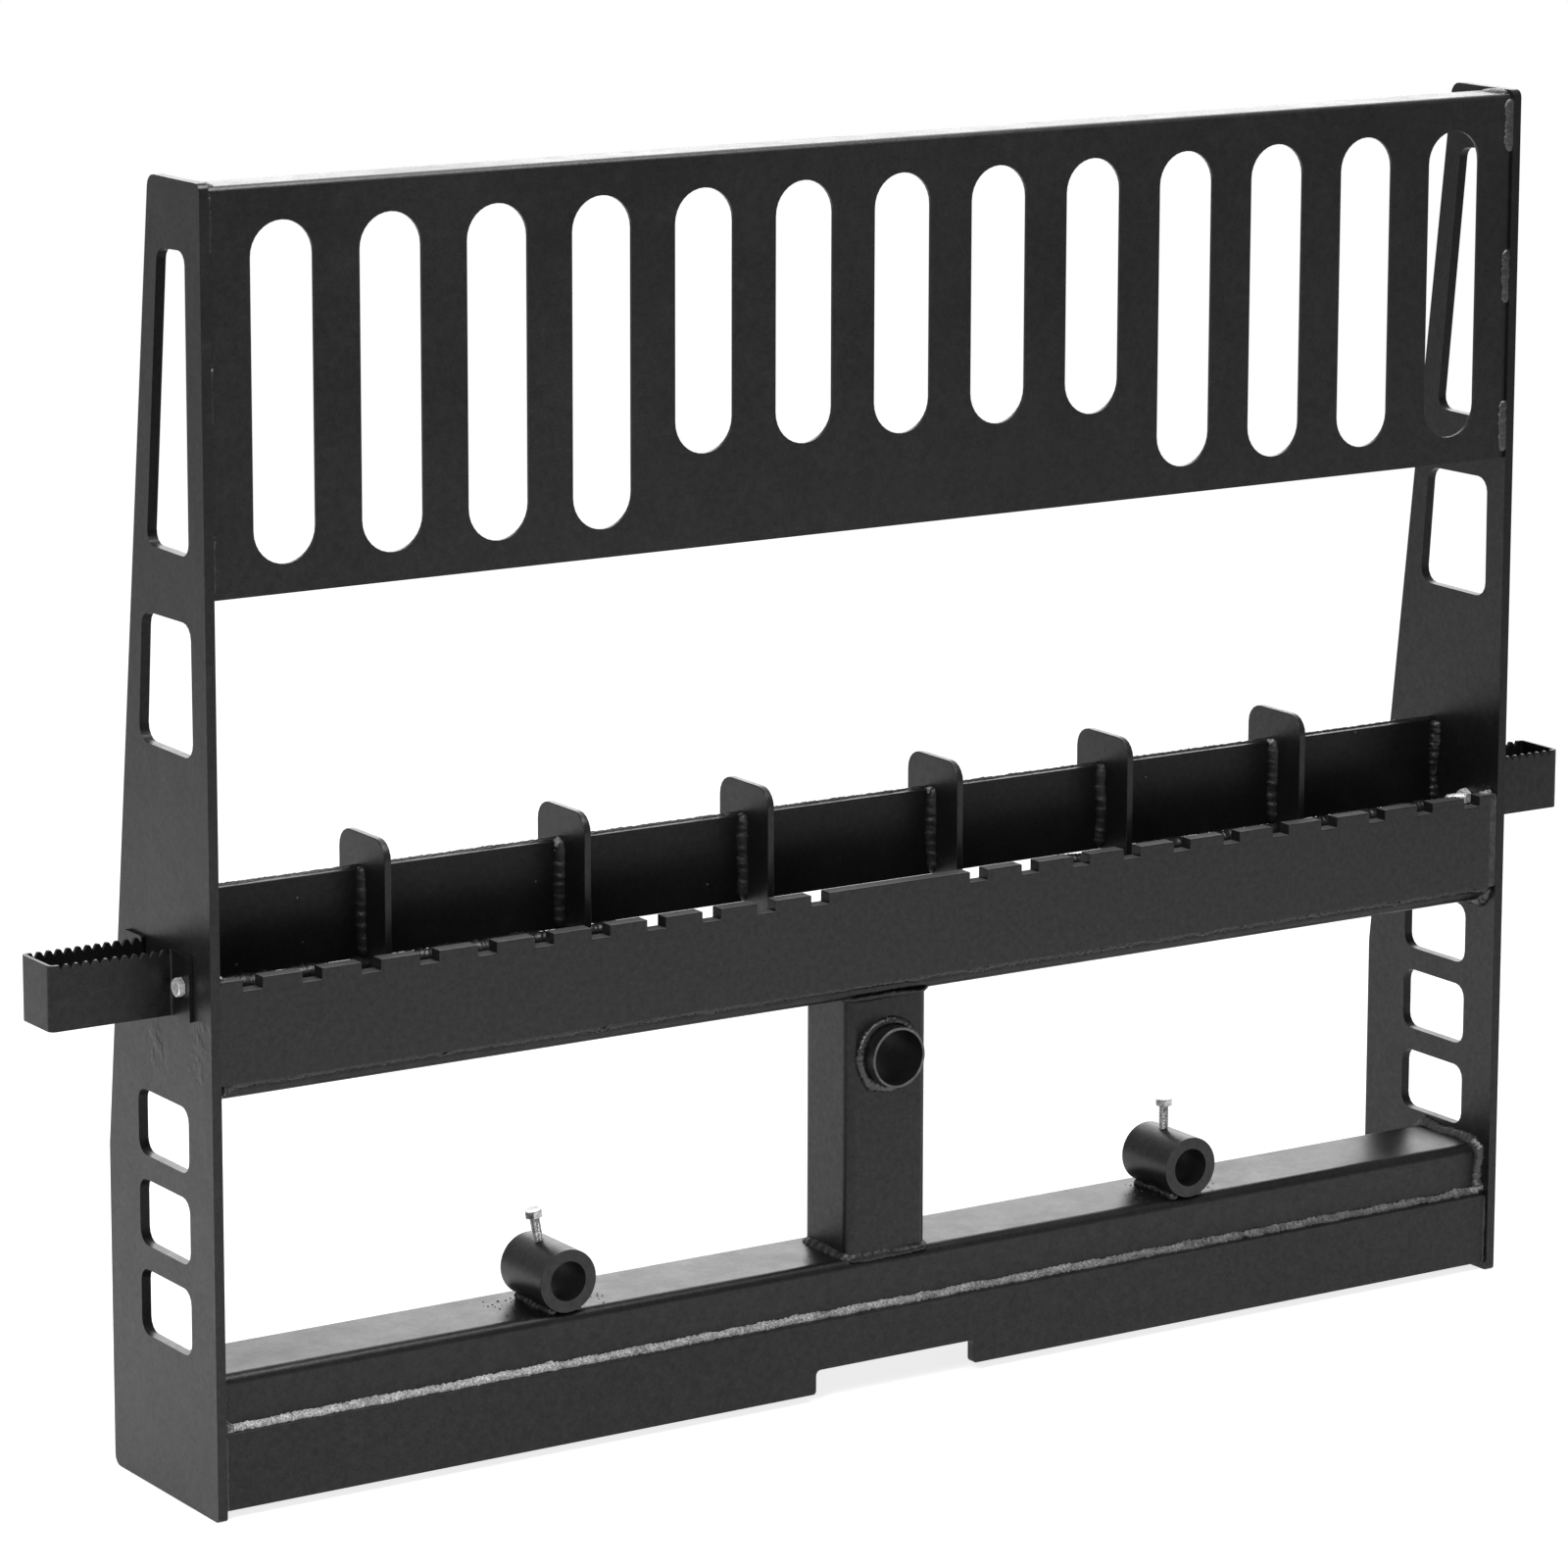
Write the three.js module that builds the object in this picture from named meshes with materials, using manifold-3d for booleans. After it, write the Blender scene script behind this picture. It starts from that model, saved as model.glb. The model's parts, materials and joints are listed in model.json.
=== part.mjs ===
// Fork carriage frame with slotted guard, side steps and spear sleeves.
// Millimetres, +Z up, +X to the right, the fork side faces -Y.
import * as THREE from 'three';
import { mergeVertices } from 'three/addons/utils/BufferGeometryUtils.js';
import Module from 'manifold-3d';

// ---- driving dimensions ----
const WIDTH = 1220;            // outer face to outer face of the side plates
const SIDE_T = 8;              // side plate thickness
const HEIGHT = 1003;           // side plate height
const TOP_DEPTH = 80;          // side plate depth at the top
const DEPTH = 168;             // side plate depth at the bottom
const KNEE_Z = 254;            // where the back edge starts to lean forward
const GAP = 0.3;               // weld gap between neighbouring pieces

const GUARD_BOTTOM = 698;      // guard panel
const GUARD_TOP = 1000;
const GUARD_Y = 2.5;
const GUARD_T = 3;
const FLANGE_BACK = 36;
const SLOT_W = 52;
const SLOT_PITCH = 90.4;
const SLOT_SHIFT = 0.5;
const SLOT_TOP = 972.8;
const SLOT_LONG_BOTTOM = 720;
const SLOT_SHORT_BOTTOM = 770;

const BAR_BOTTOM = 334.5;      // upper fork bar
const BAR_TOP = 413.5;
const BAR_T = 13;
const NOTCH_W = 16.4;
const NOTCH_D = 8.7;
const NOTCH_FIRST = 75;
const NOTCH_PITCH = 50;
const NOTCHES_PER_SIDE = 11;

const LOW_BAR_BOTTOM = 6.6;    // lower fork bar, 407 below the top of the upper one
const LOW_BAR_TOP = 66;
const LOW_BAR_Y = 3.2;
const LOW_BAR_T = 9.5;
const LOW_CUT_W = 151;
const LOW_CUT_X = 0.5;
const LOW_CUT_Z = 26;

const CROSS = 64;              // upper cross tube, square
const CROSS_Y = 13;
const CROSS_Z = 319.5;
const BASE = 80;               // bottom tube, square
const BASE_Y = 13;
const BASE_Z = 28.2;
const POST_W = 76;             // centre upright
const POST_D = 64;
const POST_Y = 16;
const WALL = 5;
const TUBE_R = 8;

const HOOK_Y = 84;             // loader hook plate and its lip
const HOOK_T = 8;
const HOOK_BOTTOM = 393;
const HOOK_TOP = 463;
const LIP_RUN = 46;
const LIP_T = 8;

const EAR_X = [89.8, 257.3, 433.1];
const EAR_T = 6;
const EAR_FRONT = 48;
const EAR_BACK = 119;
const EAR_TOP = 490;

const PIN_HOLE_X = 400;        // lock pin holes in the bottom rear lip
const PIN_HOLE_W = 58;
const PIN_HOLE_D = 34;

const SLEEVE_X = 297.5;        // thick spear sleeves on the bottom tube
const SLEEVE_R = 25;
const SLEEVE_BORE_R = 15.6;
const SLEEVE_Y = 13;
const SLEEVE_LEN = 61;
const CENTRE_R = 24.5;         // thin centre sleeve through the upright
const CENTRE_WALL = 2.2;
const CENTRE_Z = 271.4;
const CENTRE_BACK = 84;

const SET_Y = 51;              // set bolts
const SET_LEAN = 10;           // the left one leans outwards, degrees
const BOLT_R = 4;
const BOLT_CLEAR = 0.3;
const HEAD_AF = 13;
const HEAD_H = 5.5;
const SET_REACH = 44.5;        // head seat above the sleeve axis
const SET_LEN = 30;

const STEP_OUT = 103.5;        // side steps
const STEP_T = 3;
const STEP_BOTTOM = 379;
const STEP_TOP = 429;
const STEP_FRONT = 55;
const STEP_BACK = 103;
const TAB = 27.5;
const STEP_R = 5;
const TOOTH_PITCH = 8;
const TOOTH_D = 5;
const TEETH = 11;
const STEP_BOLT_Z = 404;
const STEP_BOLT_FRONT = 39.5;
const STEP_BOLT_REAR = 118.5;
const NUT_H = 6.5;
const BOLT_END = 22;           // the step bolts reach this far past the plate

const wasm = await Module();
wasm.setup();

// ---- helpers ----
const half = WIDTH / 2;
const inner = half - SIDE_T;

// polygon with each corner rounded by its own radius
function round(points, radii, steps = 4) {
  const out = [];
  const n = points.length;
  for (let i = 0; i < n; i += 1) {
    const r = Array.isArray(radii) ? radii[i] : radii;
    const p = new THREE.Vector2(...points[i]);
    if (!r) {
      out.push(p);
      continue;
    }
    const a = new THREE.Vector2(...points[(i + n - 1) % n]).sub(p).normalize();
    const b = new THREE.Vector2(...points[(i + 1) % n]).sub(p).normalize();
    const turn = Math.acos(THREE.MathUtils.clamp(a.dot(b), -1, 1));
    const reach = r / Math.tan(turn / 2);
    const mid = a.clone().add(b).normalize();
    const centre = p.clone().addScaledVector(mid, r / Math.sin(turn / 2));
    const from = p.clone().addScaledVector(a, reach).sub(centre);
    const to = p.clone().addScaledVector(b, reach).sub(centre);
    const start = Math.atan2(from.y, from.x);
    let sweep = Math.atan2(to.y, to.x) - start;
    if (sweep > Math.PI) sweep -= 2 * Math.PI;
    if (sweep < -Math.PI) sweep += 2 * Math.PI;
    for (let k = 0; k <= steps; k += 1) {
      const t = start + (sweep * k) / steps;
      out.push(new THREE.Vector2(centre.x + r * Math.cos(t), centre.y + r * Math.sin(t)));
    }
  }
  return out;
}

function circle(x, y, r, steps = 24) {
  const out = [];
  for (let k = 0; k < steps; k += 1) {
    const t = (2 * Math.PI * k) / steps;
    out.push(new THREE.Vector2(x + r * Math.cos(t), y + r * Math.sin(t)));
  }
  return out;
}

function box2(x0, y0, x1, y1) {
  return [[x0, y0], [x1, y0], [x1, y1], [x0, y1]];
}

const bases = {
  X: [[0, 1, 0], [0, 0, 1], [1, 0, 0]],
  Y: [[1, 0, 0], [0, 0, 1], [0, -1, 0]],
  Z: [[1, 0, 0], [0, 1, 0], [0, 0, 1]],
};

// outline (and holes) swept along one axis from a to b
function prism(axis, outline, holes, a, b) {
  const shape = new THREE.Shape(outline);
  shape.holes = holes.map((h) => new THREE.Path(h));
  const geometry = new THREE.ExtrudeGeometry(shape, { depth: b - a, bevelEnabled: false });
  const columns = bases[axis].map((v) => new THREE.Vector3(...v));
  const turn = new THREE.Matrix4().makeBasis(...columns);
  geometry.applyMatrix4(turn);
  const shift = columns[2].clone().multiplyScalar(axis === 'Y' ? -b : a);
  geometry.translate(shift.x, shift.y, shift.z);
  geometry.deleteAttribute('normal');
  geometry.deleteAttribute('uv');
  return mergeVertices(geometry, 1e-4);
}

function solid(geometry) {
  const mesh = new wasm.Mesh({
    numProp: 3,
    vertProperties: new Float32Array(geometry.attributes.position.array),
    triVerts: new Uint32Array(geometry.index.array),
  });
  return new wasm.Manifold(mesh);
}

function unsolid(body) {
  const mesh = body.getMesh();
  const geometry = new THREE.BufferGeometry();
  const position = new THREE.BufferAttribute(new Float32Array(mesh.vertProperties), 3);
  geometry.setAttribute('position', position);
  geometry.setIndex(new THREE.BufferAttribute(new Uint32Array(mesh.triVerts), 1));
  return geometry;
}

function join(...parts) {
  return unsolid(parts.slice(1).reduce((s, g) => s.add(solid(g)), solid(parts[0])));
}

function cut(base, ...tools) {
  return unsolid(tools.reduce((s, g) => s.subtract(solid(g)), solid(base)));
}

// same piece on the other side of the frame
function mirrored(geometry) {
  const copy = geometry.clone();
  copy.scale(-1, 1, 1);
  const order = Array.from(copy.index.array);
  for (let i = 0; i < order.length; i += 3) {
    const keep = order[i + 1];
    order[i + 1] = order[i + 2];
    order[i + 2] = keep;
  }
  copy.setIndex(order);
  return copy;
}

const group = new THREE.Group();
group.name = 'fork_carriage_frame';

function add(name, geometry, colour, metalness, roughness) {
  geometry.translate(0, -DEPTH / 2, 0);
  const flat = geometry.toNonIndexed();
  flat.computeVertexNormals();
  const material = new THREE.MeshStandardMaterial({ color: colour, metalness, roughness });
  material.name = name;
  const mesh = new THREE.Mesh(flat, material);
  mesh.name = name;
  group.add(mesh);
}

const black = (name, geometry) => add(name, geometry, 0x1b1c1e, 0.35, 0.5);
const zinc = (name, geometry) => add(name, geometry, 0xc9ccd0, 0.9, 0.3);

// ---- side plates ----
function sidePlate() {
  const outline = round(
    [[0, 0], [DEPTH, 0], [DEPTH, KNEE_Z], [TOP_DEPTH, HEIGHT], [0, HEIGHT]],
    [3, 8, 40, 10, 6],
  );
  const windows = [
    round([[24.5, 727], [90.3, 728], [67, 950], [24, 952]], 10),
    round([[22.3, 577], [108, 578], [100, 677], [23, 678]], 12),
    round(box2(38.3, 259, 119, 310), 11),
    round(box2(38.3, 188.5, 119, 240), 11),
    round(box2(38.3, 118, 119, 169.5), 11),
    circle(STEP_BOLT_FRONT, STEP_BOLT_Z, BOLT_R + BOLT_CLEAR, 20),
    circle(STEP_BOLT_REAR, STEP_BOLT_Z, BOLT_R + BOLT_CLEAR, 20),
  ];
  return prism('X', outline, windows, inner, half);
}
black('side_plate_right', sidePlate());
black('side_plate_left', mirrored(sidePlate()));

// ---- guard panel: slotted sheet with its top edge bent back ----
const reach = inner - GAP;
const slots = [];
for (let i = 0; i < 13; i += 1) {
  const x = (i - 6) * SLOT_PITCH + SLOT_SHIFT;
  const bottom = i < 4 || i > 8 ? SLOT_LONG_BOTTOM : SLOT_SHORT_BOTTOM;
  const w = SLOT_W / 2;
  slots.push(round(box2(x - w, bottom, x + w, SLOT_TOP), w - 0.01, 8));
}
const panel = prism(
  'Y',
  round(box2(-reach, GUARD_BOTTOM, reach, GUARD_TOP - 8), 0),
  slots,
  GUARD_Y,
  GUARD_Y + GUARD_T,
);
const flange = prism(
  'X',
  round(
    [
      [GUARD_Y, GUARD_TOP - 9],
      [GUARD_Y + GUARD_T, GUARD_TOP - 9],
      [GUARD_Y + GUARD_T, GUARD_TOP - GUARD_T],
      [FLANGE_BACK, GUARD_TOP - GUARD_T],
      [FLANGE_BACK, GUARD_TOP],
      [GUARD_Y, GUARD_TOP],
    ],
    [0, 0, 2, 0, 0, 5],
  ),
  [],
  -reach,
  reach,
);
black('guard_panel', join(panel, flange));

// ---- fork bars ----
function notchedBar() {
  const outline = [];
  outline.push([-reach, BAR_BOTTOM], [reach, BAR_BOTTOM], [reach, BAR_TOP]);
  const centres = [];
  for (let k = NOTCHES_PER_SIDE - 1; k >= 0; k -= 1) centres.push(NOTCH_FIRST + k * NOTCH_PITCH);
  for (let k = 0; k < NOTCHES_PER_SIDE; k += 1) centres.push(-NOTCH_FIRST - k * NOTCH_PITCH);
  for (const x of centres) {
    outline.push([x + NOTCH_W / 2, BAR_TOP]);
    outline.push([x + NOTCH_W / 2, BAR_TOP - NOTCH_D]);
    outline.push([x - NOTCH_W / 2, BAR_TOP - NOTCH_D]);
    outline.push([x - NOTCH_W / 2, BAR_TOP]);
  }
  outline.push([-reach, BAR_TOP]);
  return prism('Y', round(outline, 0), [], 0, BAR_T - GAP);
}
black('fork_bar_upper', notchedBar());

const cutHalf = LOW_CUT_W / 2;
const lowOutline = round(
  [
    [-reach, LOW_BAR_BOTTOM],
    [LOW_CUT_X - cutHalf, LOW_BAR_BOTTOM],
    [LOW_CUT_X - cutHalf, LOW_CUT_Z],
    [LOW_CUT_X + cutHalf, LOW_CUT_Z],
    [LOW_CUT_X + cutHalf, LOW_BAR_BOTTOM],
    [reach, LOW_BAR_BOTTOM],
    [reach, LOW_BAR_TOP],
    [-reach, LOW_BAR_TOP],
  ],
  [0, 3, 4, 4, 3, 0, 0, 0],
);
black('fork_bar_lower', prism('Y', lowOutline, [], LOW_BAR_Y, LOW_BAR_Y + LOW_BAR_T));

// ---- square tubes ----
function tubeRing(x, y, w, d) {
  const outer = round(box2(x, y, x + w, y + d), TUBE_R, 5);
  const bore = round(box2(x + WALL, y + WALL, x + w - WALL, y + d - WALL), TUBE_R - WALL, 3);
  return [outer, bore];
}
const crossRing = tubeRing(CROSS_Y, CROSS_Z, CROSS, CROSS);
black('cross_tube', prism('X', crossRing[0], [crossRing[1]], -reach, reach));
const baseRing = tubeRing(BASE_Y, BASE_Z, BASE, BASE);
black('base_tube', prism('X', baseRing[0], [baseRing[1]], -reach, reach));
const postRing = tubeRing(-POST_W / 2, POST_Y, POST_W, POST_D);
const post = prism('Z', postRing[0], [postRing[1]], BASE_Z + BASE + GAP, CROSS_Z - GAP);
const through = prism('Y', circle(0, CENTRE_Z, CENTRE_R + GAP, 40), [], POST_Y - 5, POST_Y + POST_D + 5);
black('centre_post', cut(post, through));

// ---- spear sleeves ----
const centreRing = circle(0, CENTRE_Z, CENTRE_R, 40);
const centreBore = circle(0, CENTRE_Z, CENTRE_R - CENTRE_WALL, 40);
black('spear_sleeve_centre', prism('Y', centreRing, [centreBore], 0, CENTRE_BACK));

const sleeveZ = BASE_Z + BASE + GAP + SLEEVE_R;
function sleeve(lean) {
  const body = prism(
    'Y',
    circle(0, 0, SLEEVE_R, 48),
    [circle(0, 0, SLEEVE_BORE_R, 40)],
    SLEEVE_Y,
    SLEEVE_Y + SLEEVE_LEN,
  );
  const tap = prism('Z', circle(0, SET_Y, BOLT_R + BOLT_CLEAR, 20), [], 5, SLEEVE_R + 5);
  const made = cut(body, tap);
  made.rotateY(THREE.MathUtils.degToRad(lean));
  return made;
}
function hexagon(x, y, flats) {
  return circle(x, y, flats / Math.sqrt(3), 6);
}
function setBolt(lean) {
  const head = prism('Z', hexagon(0, SET_Y, HEAD_AF), [], SET_REACH, SET_REACH + HEAD_H);
  const shank = prism('Z', circle(0, SET_Y, BOLT_R, 20), [], SET_REACH - SET_LEN, SET_REACH + 2);
  const made = join(head, shank);
  made.rotateY(THREE.MathUtils.degToRad(lean));
  return made;
}
for (const [side, x, lean] of [['left', -SLEEVE_X, -SET_LEAN], ['right', SLEEVE_X, 0]]) {
  const s = sleeve(lean);
  s.translate(x, 0, sleeveZ);
  black(`spear_sleeve_${side}`, s);
  const b = setBolt(lean);
  b.translate(x, 0, sleeveZ);
  zinc(`set_bolt_${side}`, b);
}

// ---- loader hook: plate, lip and six ears ----
const hookBack = HOOK_Y + HOOK_T;
black('hook_plate', prism('Y', round(box2(-reach, HOOK_BOTTOM, reach, HOOK_TOP), 0), [], HOOK_Y, hookBack));
const lipY = hookBack + GAP;
const lipDrop = LIP_T * Math.SQRT2;
const lipOutline = round(
  [
    [lipY, HOOK_TOP - lipDrop],
    [lipY + LIP_RUN - LIP_T / Math.SQRT2, HOOK_TOP - lipDrop - LIP_RUN + LIP_T / Math.SQRT2],
    [lipY + LIP_RUN, HOOK_TOP - LIP_RUN],
    [lipY, HOOK_TOP],
  ],
  [0, 1.5, 1.5, 0],
  2,
);
black('hook_lip', prism('X', lipOutline, [], -reach, reach));

const earSlope = HOOK_TOP + 0.5;
const earOutline = round(
  [
    [EAR_FRONT, CROSS_Z + CROSS + GAP],
    [CROSS_Y + CROSS - 2, CROSS_Z + CROSS + GAP],
    [HOOK_Y - GAP, HOOK_BOTTOM],
    [HOOK_Y - GAP, earSlope],
    [lipY, earSlope],
    [EAR_BACK, earSlope - (EAR_BACK - lipY)],
    [EAR_BACK, EAR_TOP],
    [EAR_FRONT, EAR_TOP],
  ],
  [0, 0, 0, 0, 0, 3, 16, 16],
  5,
);
let earNumber = 1;
for (const x of [...EAR_X].reverse().map((v) => -v).concat(EAR_X)) {
  black(`ear_${earNumber}`, prism('X', earOutline, [], x - EAR_T / 2, x + EAR_T / 2));
  earNumber += 1;
}

// ---- bottom rear lip with the two lock pin holes, and its gussets ----
const lockY = BASE_Y + BASE + GAP;
const lockRun = 60;
const lockPlate = prism(
  'Z',
  round(box2(-reach, 0, reach, lockRun), [0, 0, 3, 3]),
  [-PIN_HOLE_X, PIN_HOLE_X].map((x) =>
    round(box2(x - PIN_HOLE_W / 2, 15, x + PIN_HOLE_W / 2, 15 + PIN_HOLE_D), 4)),
  -10,
  0,
);
lockPlate.rotateX(THREE.MathUtils.degToRad(-20));
lockPlate.translate(0, lockY + 4, 64);
const lockTrim = prism('X', round(box2(0, 0, lockY, 200), 0), [], -half, half);
black('lock_pin_plate', cut(lockPlate, lockTrim));
const slope = Math.tan(THREE.MathUtils.degToRad(20));
const under = 64 - 10 / Math.cos(THREE.MathUtils.degToRad(20)) + 4 * slope - 0.6;
const gussetOutline = round(
  [
    [lockY, 30],
    [lockY + 6, 30],
    [lockY + 48, under - 48 * slope - 6],
    [lockY + 48, under - 48 * slope],
    [lockY, under],
  ],
  0,
);
let gussetNumber = 1;
for (const x of [-480, -160, 160, 480]) {
  black(`lock_gusset_${gussetNumber}`, prism('X', gussetOutline, [], x - 4, x + 4));
  gussetNumber += 1;
}

// ---- side steps: bent strap, saw-tooth top edges, two bolted tabs ----
function step() {
  const x0 = half + GAP;
  const x1 = half + STEP_OUT;
  const t = STEP_T;
  const f = STEP_FRONT;
  const b = STEP_BACK;
  const r = STEP_R;
  const k = r - t;
  const strap = prism(
    'Z',
    round(
      [
        [x0, f - TAB], [x0 + t, f - TAB], [x0 + t, f], [x1, f], [x1, b], [x0 + t, b],
        [x0 + t, b + TAB], [x0, b + TAB], [x0, b - t], [x1 - t, b - t], [x1 - t, f + t], [x0, f + t],
      ],
      [0, 0, k, r, r, k, 0, 0, r, k, k, r],
      4,
    ),
    [],
    STEP_BOTTOM,
    STEP_TOP,
  );
  const low = STEP_TOP - TOOTH_D;
  const first = half + 9;
  const comb = [];
  comb.push([first + TOOTH_PITCH / 2 - 8, STEP_TOP + 5]);
  for (let i = 0; i < TEETH; i += 1) {
    const x = first + i * TOOTH_PITCH;
    comb.push([x - TOOTH_PITCH / 2, low]);
    comb.push([x - 1.9, STEP_TOP - 0.9]);
    comb.push([x - 0.9, STEP_TOP - 0.05]);
    comb.push([x + 0.9, STEP_TOP - 0.05]);
    comb.push([x + 1.9, STEP_TOP - 0.9]);
  }
  const last = first + (TEETH - 0.5) * TOOTH_PITCH;
  comb.push([last, low]);
  comb.push([last + 2.3, STEP_TOP - 0.5]);
  comb.push([last + 3.2, STEP_TOP + 5]);
  const saw = prism('Y', round(comb, 0), [], f - 5, b + 5);
  const holes = [STEP_BOLT_FRONT, STEP_BOLT_REAR].map((y) =>
    prism('X', circle(y, STEP_BOLT_Z, BOLT_R + BOLT_CLEAR, 20), [], x0 - 2, x0 + t + 2));
  return cut(strap, saw, ...holes);
}
black('step_right', step());
black('step_left', mirrored(step()));

// ---- step bolts and nuts ----
const seat = half + GAP + STEP_T + GAP;
function stepBolt(y) {
  const head = prism('X', hexagon(y, STEP_BOLT_Z, HEAD_AF), [], seat, seat + HEAD_H);
  const shank = prism('X', circle(y, STEP_BOLT_Z, BOLT_R, 20), [], inner - BOLT_END, seat + 1);
  return join(head, shank);
}
function stepNut(y) {
  return prism(
    'X',
    hexagon(y, STEP_BOLT_Z, HEAD_AF),
    [circle(y, STEP_BOLT_Z, BOLT_R + BOLT_CLEAR, 20)],
    inner - GAP - NUT_H,
    inner - GAP,
  );
}
for (const [place, y] of [['front', STEP_BOLT_FRONT], ['rear', STEP_BOLT_REAR]]) {
  zinc(`step_bolt_right_${place}`, stepBolt(y));
  zinc(`step_bolt_left_${place}`, mirrored(stepBolt(y)));
  zinc(`step_nut_right_${place}`, stepNut(y));
  zinc(`step_nut_left_${place}`, mirrored(stepNut(y)));
}

export default group;
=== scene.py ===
import json
import math
import random

import bmesh
import bpy
from mathutils import Matrix, Vector, noise


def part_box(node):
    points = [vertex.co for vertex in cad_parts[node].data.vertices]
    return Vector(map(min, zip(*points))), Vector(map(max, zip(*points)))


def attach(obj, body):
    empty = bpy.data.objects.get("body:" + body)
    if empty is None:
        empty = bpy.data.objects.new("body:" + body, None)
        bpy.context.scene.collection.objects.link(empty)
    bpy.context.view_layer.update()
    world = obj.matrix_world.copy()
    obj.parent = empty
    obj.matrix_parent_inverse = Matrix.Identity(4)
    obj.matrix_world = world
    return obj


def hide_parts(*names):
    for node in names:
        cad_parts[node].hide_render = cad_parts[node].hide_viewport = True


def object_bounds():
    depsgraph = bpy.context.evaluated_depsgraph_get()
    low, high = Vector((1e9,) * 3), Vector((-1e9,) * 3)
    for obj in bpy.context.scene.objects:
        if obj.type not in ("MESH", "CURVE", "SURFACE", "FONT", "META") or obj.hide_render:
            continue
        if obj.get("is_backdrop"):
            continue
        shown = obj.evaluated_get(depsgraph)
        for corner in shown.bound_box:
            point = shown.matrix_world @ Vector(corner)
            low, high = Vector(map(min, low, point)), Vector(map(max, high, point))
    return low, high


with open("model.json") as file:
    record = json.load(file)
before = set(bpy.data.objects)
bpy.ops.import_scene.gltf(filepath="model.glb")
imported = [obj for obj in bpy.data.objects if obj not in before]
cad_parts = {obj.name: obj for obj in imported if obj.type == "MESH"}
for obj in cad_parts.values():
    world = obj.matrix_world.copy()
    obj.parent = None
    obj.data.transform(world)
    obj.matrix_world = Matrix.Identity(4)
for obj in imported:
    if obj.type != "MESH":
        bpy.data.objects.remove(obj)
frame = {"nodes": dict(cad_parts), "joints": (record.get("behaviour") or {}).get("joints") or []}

# Looks of a welded fork carriage: rounded steel edges, weld beads, threads and a satin black coat.
# Metres, in the frame of the CAD. Positions come from the boxes of the CAD nodes.

cad_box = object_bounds()
MM = 0.001
scene = bpy.context.scene


# ---- camera ----
# Solved from the photograph. Turns are in radians, lens and sensor in millimetres.
CAMERA_PLACE = Vector((-2.70124, -4.07161, 1.54553))
CAMERA_YAW = -0.57631
CAMERA_PITCH = -0.18547
CAMERA_ROLL = 0.00238
CAMERA_LENS = 144.594
CAMERA_SENSOR = 36
CAMERA_SHIFT = -0.12           # the photograph was framed below the lens axis
CAMERA_SEES = 100              # as far as this, in metres


def make_camera():
    forward = Vector((
        -math.sin(CAMERA_YAW) * math.cos(CAMERA_PITCH),
        math.cos(CAMERA_YAW) * math.cos(CAMERA_PITCH),
        math.sin(CAMERA_PITCH),
    ))
    right = forward.cross(Vector((0, 0, 1))).normalized()
    up = right.cross(forward)
    level_right = math.cos(CAMERA_ROLL) * right + math.sin(CAMERA_ROLL) * up
    level_up = -math.sin(CAMERA_ROLL) * right + math.cos(CAMERA_ROLL) * up
    data = bpy.data.cameras.new("camera")
    data.lens = CAMERA_LENS
    data.sensor_width = CAMERA_SENSOR
    data.shift_y = CAMERA_SHIFT
    data.clip_end = CAMERA_SEES
    camera = bpy.data.objects.new("camera", data)
    turn = Matrix((level_right, level_up, -forward)).transposed()
    camera.matrix_world = Matrix.Translation(CAMERA_PLACE) @ turn.to_4x4()
    scene.collection.objects.link(camera)
    scene.camera = camera


make_camera()


# ---- materials ----
# Scales of the noise patterns, in cells per metre.
CLOUDS = 5.0
WAVES = 24.0
RUBS = 38.0
STROKES = 85.0
WELD_PATCHES = 90.0
RAGGED = 160.0
MOTTLE = 190.0
SPECKS = 230.0
WELD_WAVES = 240.0
ZINC_CLOUDS = 300.0
WELD_GRAIN = 620.0
GRIT = 750.0
ZINC_PITS = 1100.0
WELD_GREY = (0.035,) * 3
WELD_SHADE_FADE = (-0.45, 0.35)      # painted shade: bright welds are painted darker to the right between these X, standing in for the top softbox's highlight falling off


def new_material(name):
    material = bpy.data.materials.new(name)
    material.use_nodes = True
    tree = material.node_tree
    shader = tree.nodes["Principled BSDF"]
    return material, tree, shader


def add_node(tree, kind, inputs=None, **settings):
    node = tree.nodes.new(kind)
    for key, value in settings.items():
        setattr(node, key, value)
    for key, value in (inputs or {}).items():
        node.inputs[key].default_value = value
    return node


def noise_of(tree, place, scale, detail=2.0, rough=0.5):
    node = add_node(tree, "ShaderNodeTexNoise", {"Scale": scale, "Detail": detail, "Roughness": rough})
    tree.links.new(place, node.inputs["Vector"])
    return node.outputs["Fac"]


def ramp_of(tree, value, stops):
    node = add_node(tree, "ShaderNodeValToRGB")
    ramp = node.color_ramp
    while len(ramp.elements) < len(stops):
        ramp.elements.new(0.5)
    for element, (position, colour) in zip(ramp.elements, stops):
        element.position = position
        if not hasattr(colour, "__len__"):
            colour = (colour, colour, colour)
        element.color = (*colour, 1)
    tree.links.new(value, node.inputs["Fac"])
    return node.outputs["Color"]


def mix_of(tree, factor, first, second, mode="MIX"):
    node = add_node(tree, "ShaderNodeMix", data_type="RGBA", blend_type=mode)
    for socket, value in (("Factor", factor), ("A", first), ("B", second)):
        kind = "VALUE" if socket == "Factor" else "RGBA"
        target = [s for s in node.inputs if s.name == socket and s.type == kind]
        if isinstance(value, bpy.types.NodeSocket):
            tree.links.new(value, target[0])
        elif socket == "Factor":
            target[0].default_value = value
        else:
            target[0].default_value = (*value, 1) if hasattr(value, "__len__") else (value, value, value, 1)
    return [s for s in node.outputs if s.type == "RGBA"][0]


def place_of(tree):
    return add_node(tree, "ShaderNodeTexCoord").outputs["Object"]


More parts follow.
